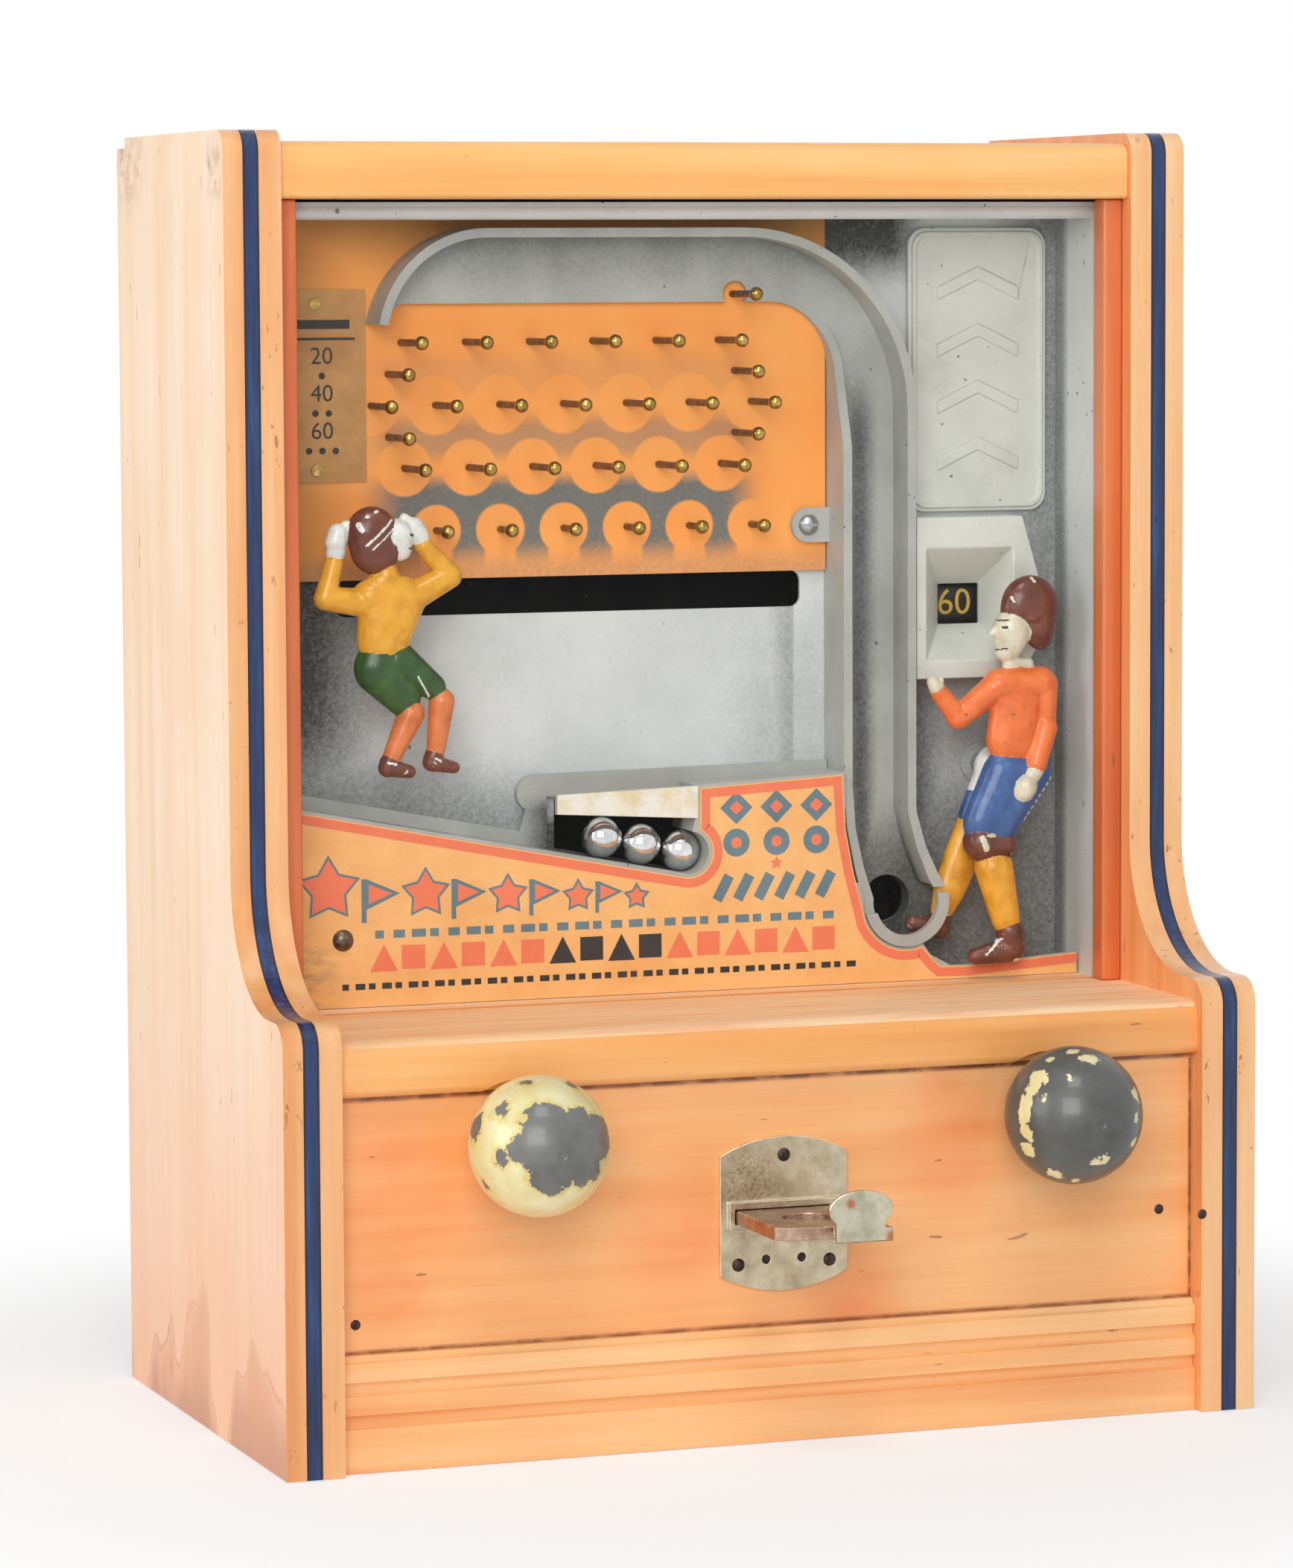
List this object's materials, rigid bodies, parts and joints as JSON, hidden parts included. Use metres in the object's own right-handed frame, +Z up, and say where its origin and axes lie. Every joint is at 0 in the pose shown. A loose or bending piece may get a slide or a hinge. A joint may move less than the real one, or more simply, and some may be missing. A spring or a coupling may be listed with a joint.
{
  "type": "countertop arcade game",
  "caption": "Wooden countertop ball-kick game: glazed upright playfield with pins, kicker and sliding catcher, two round knobs, coin slide, steel balls and a hinged rear door.",
  "frame": {"origin": "middle of the cabinet's footprint, on the table", "axes": "+Z up, the front faces -Y, +X to the player's right"},
  "size_m": [0.381, 0.273, 0.482],
  "materials": {
    "wood_side": "clear varnish",
    "wood_front": "clear varnish",
    "wood_inside": "bare",
    "stop_red": "stained varnish",
    "navy_inlay": "gloss lacquer",
    "glass": "clear",
    "grey_tray": "satin paint",
    "grey_casting": "satin paint",
    "orange_board": "airbrushed paint",
    "brass": "aged",
    "steel": "satin",
    "bracket_steel": "dull",
    "ball_chrome": "polished",
    "card": "printed",
    "shield_tin": "yellowed",
    "score_paper": "aged print",
    "nickel": "worn nickel",
    "slide_bronze": "worn",
    "dark_rivet": "dark",
    "knob_cream": "chipped gloss paint",
    "knob_grey": "worn gloss paint",
    "figure_orange": "hand painted",
    "figure_yellow": "hand painted",
    "drum_black": "satin"
  },
  "bodies": {
    "cabinet": {"left_side_panel": "wood_side", "right_side_panel": "wood_side", "edge_inlays": "navy_inlay", "top_rail": "wood_side", "top_panel": "wood_side", "base_ledge": "wood_front", "front_panel": "wood_front", "base_moulding": "wood_front", "bottom_board": "wood_inside", "back_board": "wood_side", "glass_stops": "stop_red", "front_glass": "glass", "tray_battens": "wood_inside", "playfield_tray": "grey_tray", "pin_board": "orange_board", "scoring_pins": "brass", "ball_track": "grey_casting", "lower_casting": "grey_casting", "instruction_card": "card", "ball_shield": "shield_tin", "score_card": "score_paper", "card_nails": "brass", "playfield_screws": "steel", "name_plate": "grey_casting", "score_bezel": "grey_casting", "kicker_figure": "figure_orange", "carriage_rods": "steel", "rod_blocks": "bracket_steel", "catcher_bracket": "bracket_steel", "kick_bracket": "bracket_steel", "leg_bearing": "bracket_steel", "knob_bushes": "brass", "coin_plate": "nickel", "coin_plate_rivets": "dark_rivet", "coin_slide_housing": "bracket_steel", "coin_box": "bracket_steel", "ball_return_chute": "bracket_steel", "score_bracket": "bracket_steel", "score_detent": "steel", "kick_spring": "steel", "hinge_fixed_leaves": "brass", "back_screws": "steel"},
    "catcher_knob": {"catcher_knob": "knob_cream", "catcher_shaft": "steel"},
    "catcher_link": {"catcher_link": "steel"},
    "catcher_lever": {"catcher_lever": "steel"},
    "catcher": {"catcher_figure": "figure_yellow", "catcher_carriage": "bracket_steel"},
    "kick_knob": {"kick_knob": "knob_grey", "kick_shaft": "steel"},
    "kick_link": {"kick_link": "steel"},
    "kicker_leg": {"kicker_leg": "figure_yellow", "leg_shaft": "steel"},
    "coin_slide": {"coin_slide": "slide_bronze"},
    "balls": {"steel_balls": "ball_chrome"},
    "score_drum": {"score_drum": "drum_black"},
    "rear_door": {"rear_door": "wood_side", "hinge_door_leaves": "brass", "door_lock": "brass"},
    "lock_cam": {"lock_cam": "steel"}
  },
  "joints": [
    {"name": "catcher_turn", "type": "hinge", "parent": "cabinet", "child": "catcher_knob", "pos_m": [-0.102, -0.09, 0.1195], "axis": [0, 1, 0], "range_deg": [0, 45.48]},
    {"name": "catcher_link_pivot", "type": "hinge", "parent": "catcher_knob", "child": "catcher_link", "pos_m": [-0.09118, 0.0455, 0.09368], "axis": [0, 1, 0], "range_deg": [-45.58, 0]},
    {"name": "lever_swing", "type": "hinge", "parent": "cabinet", "child": "catcher_lever", "pos_m": [-0.044, 0.04, 0.1195], "axis": [0, 1, 0], "range_deg": [0, 45.58]},
    {"name": "catcher_glide", "type": "slide", "parent": "cabinet", "child": "catcher", "axis": [1, 0, 0], "range_m": [0, 0.1581]},
    {"name": "kick_turn", "type": "hinge", "parent": "cabinet", "child": "kick_knob", "pos_m": [0.106, -0.09, 0.1195], "axis": [0, -1, 0], "range_deg": [0, 20], "stiffness_Nm_per_rad": 0.6, "springref_deg": -8.59, "deforming": ["kick_spring"]},
    {"name": "kick_link_pivot", "type": "hinge", "parent": "kick_knob", "child": "kick_link", "pos_m": [0.12834, 0.0455, 0.11072], "axis": [0, -1, 0], "range_deg": [-20.1, 0]},
    {"name": "leg_swing", "type": "hinge", "parent": "cabinet", "child": "kicker_leg", "pos_m": [0.13, 0, 0.238], "axis": [0, -1, 0], "range_deg": [0, 20.1]},
    {"name": "coin_push", "type": "slide", "parent": "cabinet", "child": "coin_slide", "axis": [0, 1, 0], "range_m": [0, 0.05]},
    {"name": "balls_roll", "type": "slide", "parent": "cabinet", "child": "balls", "axis": [-0.9816, 0, 0.1908], "range_m": [0, 0.08]},
    {"name": "score_turn", "type": "hinge", "parent": "cabinet", "child": "score_drum", "pos_m": [0.121, 0.0435, 0.3005], "axis": [1, 0, 0], "continuous": true},
    {"name": "door_swing", "type": "hinge", "parent": "cabinet", "child": "rear_door", "pos_m": [-0.14, 0.1115, 0.255], "axis": [0, 0, 1], "range_deg": [0, 100]},
    {"name": "cam_turn", "type": "hinge", "parent": "rear_door", "child": "lock_cam", "pos_m": [0.118, 0.1, 0.255], "axis": [0, -1, 0], "range_deg": [0, 90]}
  ],
  "couplings": [
    {"joint": "catcher_link_pivot", "follows": "catcher_turn", "ratio": -1},
    {"joint": "lever_swing", "follows": "catcher_turn", "ratio": 1},
    {"joint": "catcher_glide", "follows": "catcher_turn", "m_per_rad": 0.19906},
    {"joint": "kick_link_pivot", "follows": "kick_turn", "ratio": -1},
    {"joint": "leg_swing", "follows": "kick_turn", "ratio": 1}
  ]
}
